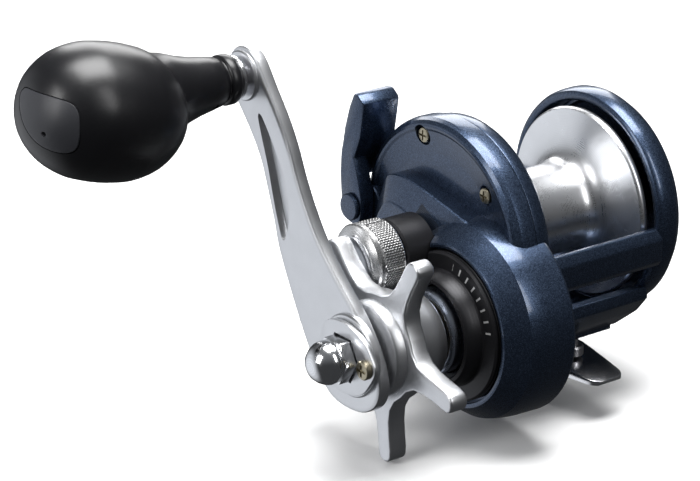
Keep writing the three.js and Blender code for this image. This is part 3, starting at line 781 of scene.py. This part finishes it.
# ------------------------------------------------------------------ handle arm
ARM_OUTLINE = [
    (-4, -17.8), (-11.6, -15.9), (-18, -9.6), (-22.9, -2.9), (-30.1, 9.7), (-36, 21.6), (-38.4, 29.5),
    (-41.4, 38.1), (-45, 47.2), (-50, 54.6), (-56.4, 62), (-60.8, 67.6), (-61.2, 73.4), (-57.6, 78.4),
    (-52.4, 79.8), (-47, 77.6), (-40.8, 69.6), (-35, 62), (-30.5, 54.5), (-26.5, 45.8), (-22, 37.8),
    (-15.8, 29.2), (-7, 20.5), (2.7, 11.9), (10.3, 2.1), (13, -6), (11, -12.6), (4.6, -16.8),
]
arm_loop = smooth_loop(ARM_OUTLINE, 120)
arm = loft([
    (79.6, shrink(arm_loop, 0.6)), (79.8, shrink(arm_loop, 0.15)), (80.2, arm_loop), (82.9, arm_loop),
    (83.4, shrink(arm_loop, 0.3)), (83.7, shrink(arm_loop, 0.9)), (83.8, shrink(arm_loop, 1.6)),
], DRIVE)
pad = turned([(0, 82.8), (12.6, 82.8), (12.6, 84.4), (12.1, 84.9), (11.5, 85.0), (0, 85.0)], DRIVE, 96)
tip = turned([(0, 82), (7.6, 82), (7.6, 84.2), (7.2, 84.7), (6.6, 84.8), (0, 84.8)], KNOB, 64)
arm = join(arm, pad, tip)
SLOT = [
    (-45.3, 60.6), (-43.4, 60.4), (-37.4, 52.4), (-32.6, 44.4),
    (-30.5, 34.4), (-32, 27.6), (-33.6, 25.6),
    (-35.4, 29.5), (-37.8, 36.7), (-40.7, 46.8), (-43.8, 55.3),
]
slot_loop = smooth_loop(SLOT, 66)
slot_cut = loft([
    (82.0, shrink(slot_loop, 0.9)), (82.2, shrink(slot_loop, 0.8)), (83.5, slot_loop),
    (83.9, shrink(slot_loop, -0.3)), (86, shrink(slot_loop, -0.5)),
], DRIVE)
arm = cut(
    arm,
    rod(4.4, 70, 90, DRIVE, 48),
    rod(2.3, 70, 90, KNOB, 40),
    slot_cut,
)
piece("arm_shell", arm, "drive", "arm_metal", "handle_arm", crease=26)

# ------------------------------------------------------------------ handle nut, its retainer and screw
hexagon = plate(ring_loop(7.3, 6), 85.5, 91.0, DRIVE, 0.35, 2)
collar = turned([(0, 90.6), (6.5, 90.6), (6.5, 91.4), (6.1, 91.7), (6.1, 92.2), (0, 92.2)], DRIVE, 64)
dome = turned([
    (0, 91.8), (6.1, 91.8), (6.6, 92.4), (6.6, 93.2), (6.3, 94.4), (5.6, 95.8), (4.4, 97.3), (2.6, 98.4),
    (1.2, 98.75), (0, 98.8),
], DRIVE, 64)
nut = join(hexagon, collar, dome)
nut = cut(nut, rod(4.3, 80, 91.4, DRIVE, 48))
piece("nut_shell", nut, "drive", "nut_chrome", "handle_nut", slot="polished_steel")
RETAINER = [
    (12.6, -4.6), (15.2, 0.4), (13.4, 4.4), (9, 8.6), (0, 11), (-8.6, 8.6), (-11, 0), (-8.4, -8.6),
    (0, -11), (8.2, -9),
]
retainer = plate(smooth_loop(RETAINER, 60), 85.3, 87.0, DRIVE, 0.35, 2)
retainer = cut(
    retainer,
    plate(ring_loop(7.8, 6), 80, 90, DRIVE),
    rod(1.5, 80, 90, LOCK_SCREW, 32),
)
piece("retainer_shell", retainer, "drive", "arm_metal", "nut_retainer")
piece("retainer_screw_head", cross_screw(87.1, 89.0, 2.9, LOCK_SCREW), "drive", "screw_brass",
      "nut_retainer_screw", slot="brass")

# ------------------------------------------------------------------ power knob
spindle = turned([
    (0, 78.8), (2, 78.8), (2, 85.1), (3.4, 85.1), (3.4, 86.2),
    (2, 86.2), (2, 139), (2.9, 139), (2.9, 142), (0, 142),
], KNOB, 40)
piece("spindle_shell", spindle, "drive", "steel", "knob_spindle")
washer = turned([(2.3, 86.5), (6.0, 86.5), (6.6, 86.9), (6.6, 87.8), (6.2, 88.2), (2.3, 88.2)], KNOB, 56)
piece("washer_shell", washer, "drive", "polished_steel", "knob_washer")
BULB = [
    (0, -25.6), (4.1, -25.25), (7.6, -24.3), (12.1, -21.8),
    (16.5, -16.6), (19.15, -10.2), (19.95, -5), (20.2, 0),
    (19.95, 5), (19.15, 10.2), (16.5, 16.6), (12.1, 21.8), (7.6, 24.3), (4.1, 25.25), (0, 25.6),
]


def egg(inset):
    """The bulb of the grip, leaning up at its outer end, moved inwards by an inset."""
    path = []
    for nearby in zip([BULB[0]] + BULB, BULB, BULB[1:], BULB[2:] + [BULB[-1]]):
        path += [tuple(spline(*values, step / 3) for values in zip(*nearby)) for step in range(3)]
    path.append(BULB[-1])
    solid = turned(path, SPOOL, 96)
    lean = Matrix.Rotation(math.radians(BULB_TILT), 4, "Y")
    place = Matrix.Translation((BULB_MIDDLE[0] - inset, BULB_MIDDLE[1], BULB_MIDDLE[2]))
    bmesh.ops.transform(solid, verts=solid.verts, matrix=place @ lean)
    return solid


neck = turned([
    (0, 88.6), (6.5, 88.6), (7.3, 88.9), (7.6, 89.5), (7.6, 91.8),
    (7.2, 92.3), (6.7, 92.5), (6.6, 93.0), (6.9, 93.4),
    (7.4, 94), (8.2, 98), (8.9, 102), (10.2, 107), (12, 112), (13.2, 118), (0, 118),
], KNOB, 96)
grip = join(egg(0), neck)
END_PLATE = [
    (-4.8, 7.4), (-3.8, 9.2), (-1.6, 10.1), (6.9, 10.0),
    (11.7, 9.3), (14.4, 7.8), (15.9, 4.7), (16.3, -0.1),
    (15.2, -4.4), (12.7, -6.4), (8.6, -6.0), (3.6, -3.5), (-0.4, 0.2), (-3.4, 4.0),
]
end_loop = smooth_loop(END_PLATE, 84)
grip = cut(
    grip,
    rod(3.4, 80, 144.4, KNOB, 40),
    rod(4.7, 80, 92.6, KNOB, 40),
    cut(plate(end_loop, 138, 166, KNOB), egg(2.4)),
    lengthwise(rod(1.2, 4.4, 12, SPOOL, 32), -43, (98, *KNOB)),
)
piece("grip_shell", grip, "knob", "knob_rubber", "knob_grip", crease=50)
end_plate = combine(plate(shrink(end_loop, 0.3), 138, 166, KNOB), [egg(0)], "INTERSECT")
end_plate = cut(end_plate, egg(2.1), rod(0.75, 150, 166, (KNOB[0] + 8.0, KNOB[1] - 0.9), 24))
soften(end_plate, 0.25, 2, 50)
piece("end_plate_shell", end_plate, "knob", "end_plate_plastic", "knob_end_plate", crease=30)
set_screw = lengthwise(rod(0.95, 5, 7.6, SPOOL, 24), -43, (98, *KNOB))
piece("set_screw_shell", set_screw, "knob", "steel", "knob_set_screw")

# ------------------------------------------------------------------ cast control
post = turned([
    (5.4, 44.8), (10.4, 44.8), (10.4, 54.9), (9.9, 55.6), (6.6, 56), (6.6, 62), (5.4, 62),
], SPOOL, 80)
piece("post_shell", post, "frame", "black_metal", "cast_control_post")
KNURL_RADIUS = 11.0
KNURL_COLUMNS = 96
KNURL_ROWS = 13
ROW_WIDTH = 0.5
NOTCH, TOOTH, VALLEY = -0.5, 0.22, -0.16
knurl_x = [57.2 + ROW_WIDTH * row for row in range(KNURL_ROWS + 1)]
knob_profile = (
    [(6.9, 56.3), (10.2, 56.3), (10.9, 56.8)] + [(KNURL_RADIUS, x) for x in knurl_x]
    + [(10.7, 64.1), (10.9, 64.4), (11.3, 64.7), (11.3, 65.9), (10.9, 66.5), (9.6, 67.3),
       (8.9, 67.6), (8.2, 67.6), (8.1, 67.15), (0, 67.1), (0, 64.6), (6.9, 64.6)]
)
cast_knob = spin(wire_profile(knob_profile, True), KNURL_COLUMNS)
for vertex in cast_knob.verts:
    radius = math.hypot(vertex.co.y, vertex.co.z)
    if abs(radius - KNURL_RADIUS) < 0.01:
        column = round(math.atan2(vertex.co.z, vertex.co.y) / (2 * math.pi) * KNURL_COLUMNS)
        row = round((vertex.co.x - knurl_x[0]) / ROW_WIDTH)
        in_notch = column % (KNURL_COLUMNS // 4) in (0, 1)
        lift = NOTCH if in_notch else (TOOTH if (column + row) % 2 else VALLEY)
        vertex.co.yz *= (radius + lift) / radius
piece("cast_knob_shell", cast_knob, "cast_control", "cast_knob", "cast_control_knob",
      slot="star_metal", crease=18)
cap = turned([
    (0, 67.12), (7.7, 67.12), (7.8, 67.5), (7.5, 67.7),
    (7.0, 67.74), (5.2, 67.74), (5.0, 67.66), (0, 67.6),
], SPOOL, 80)
piece("cast_cap_shell", cap, "cast_control", "nut_chrome", "cast_control_cap", slot="star_metal")

# ------------------------------------------------------------------ clutch lever
LEVER_ARM = [
    (-35.5, -4.3), (-39.6, -2), (-41, 4), (-41.4, 12), (-40.4, 20), (-36.6, 21.4), (-34.4, 17),
    (-32.2, 10), (-30.8, 3), (-31.8, -2.6),
]
LEVER_PAD = [
    (-41.6, 10), (-41.2, 17), (-39.4, 26), (-37, 33.4), (-34.6, 38.4), (-32.4, 38.2), (-29.4, 36),
    (-30.2, 31), (-31.4, 24.4), (-34.4, 17.4), (-36.4, 12), (-37.6, 9.6),
]
lever = plate(smooth_loop(LEVER_ARM, 50), 36.8, 42, SPOOL, 0.6, 2)
lever = join(lever, plate(LEVER_PAD, 28, 42, SPOOL, 0.9, 2))
lever = cut(lever, rod(2, 30, 50, PIVOT, 32))
piece("lever_shell", lever, "lever", "blue_paint", "clutch_lever", crease=26)
button = join(
    turned([
        (0, 42.2), (4.0, 42.2), (4.3, 42.5), (4.3, 43.1), (3.9, 43.5), (3.0, 43.6), (0, 43.5),
    ], PIVOT, 56),
    rod(1.6, 30.2, 42.6, PIVOT, 32),
)
piece("lever_button", button, "frame", "blue_paint", "lever_pivot_screw")

# ------------------------------------------------------------------ rod foot
FOOT_SIDE = [
    (-38.4, -43), (38.4, -43), (39.4, -42.4), (39.2, -41.5), (31.6, -40.8), (24, -40.2), (16, -39.2),
    (-16, -39.2), (-24, -40.2), (-31.6, -40.8), (-39.2, -41.5), (-39.4, -42.4),
]
foot = plate(FOOT_SIDE, -9, 9, SPOOL)
FOOT_PLAN = [
    (0, 39.6), (5.4, 37.8), (7.2, 31), (8.8, 16), (8.8, -16), (7.2, -31), (5.4, -37.8),
    (0, -39.6), (-5.4, -37.8), (-7.2, -31), (-8.8, -16), (-8.8, 16), (-7.2, 31), (-5.4, 37.8),
]
plan = prism([(x, y, -45) for x, y in smooth_loop(FOOT_PLAN, 98)], (0, 0, 8))
foot = combine(foot, [plan], "INTERSECT")
soften(foot, 0.35, 2, 40)
piece("foot_shell", foot, "frame", "polished_steel", "rod_foot", crease=30)
for name, y in (("foot_screw_front", 21.5), ("foot_screw_rear", -21.5)):
    screw = turned([
        (0, -39.3), (3.0, -39.3), (3.3, -39.0), (3.3, -36.6),
        (2.9, -36.1), (1.6, -36.0), (1.6, -34), (0, -34),
    ], SPOOL, 48)
    upright = Matrix.Translation((0, y, 0)) @ Matrix.Rotation(math.radians(-90), 4, "Y")
    bmesh.ops.transform(screw, verts=screw.verts, matrix=upright)
    piece(name.replace("screw", "stud"), screw, "frame", "steel", name)

# ------------------------------------------------------------------ inner parts keep their solids
slot_of = {part["node"]: part["material_slot"] for part in frame["record"]["subparts"]}
for name, node in frame["nodes"].items():
    if not node.hide_render:
        node.data.materials.clear()
        node.data.materials.append(FINISHES[slot_of[name]])

# ------------------------------------------------------------------ floor
floor_shape = bmesh.new()
bmesh.ops.create_grid(floor_shape, x_segments=2, y_segments=2, size=6.0)
floor_height = cad_low.z - FLOOR_GAP
bmesh.ops.translate(floor_shape, verts=floor_shape.verts, vec=(0, 0, floor_height))
floor_mesh = bpy.data.meshes.new("floor")
floor_shape.to_mesh(floor_mesh)
floor_shape.free()
floor = bpy.data.objects.new("floor", floor_mesh)
bpy.context.scene.collection.objects.link(floor)
paper = Finish("pale_paper", (0.93, 0.93, 0.93), 0.9, 0.0, Specular_IOR_Level=0.1)
paper.tint(paper.noise(40.0, 2.0) * 0.1, (0.9, 0.9, 0.9))
floor_mesh.materials.append(paper.material)
floor.visible_glossy = False
floor.visible_diffuse = False
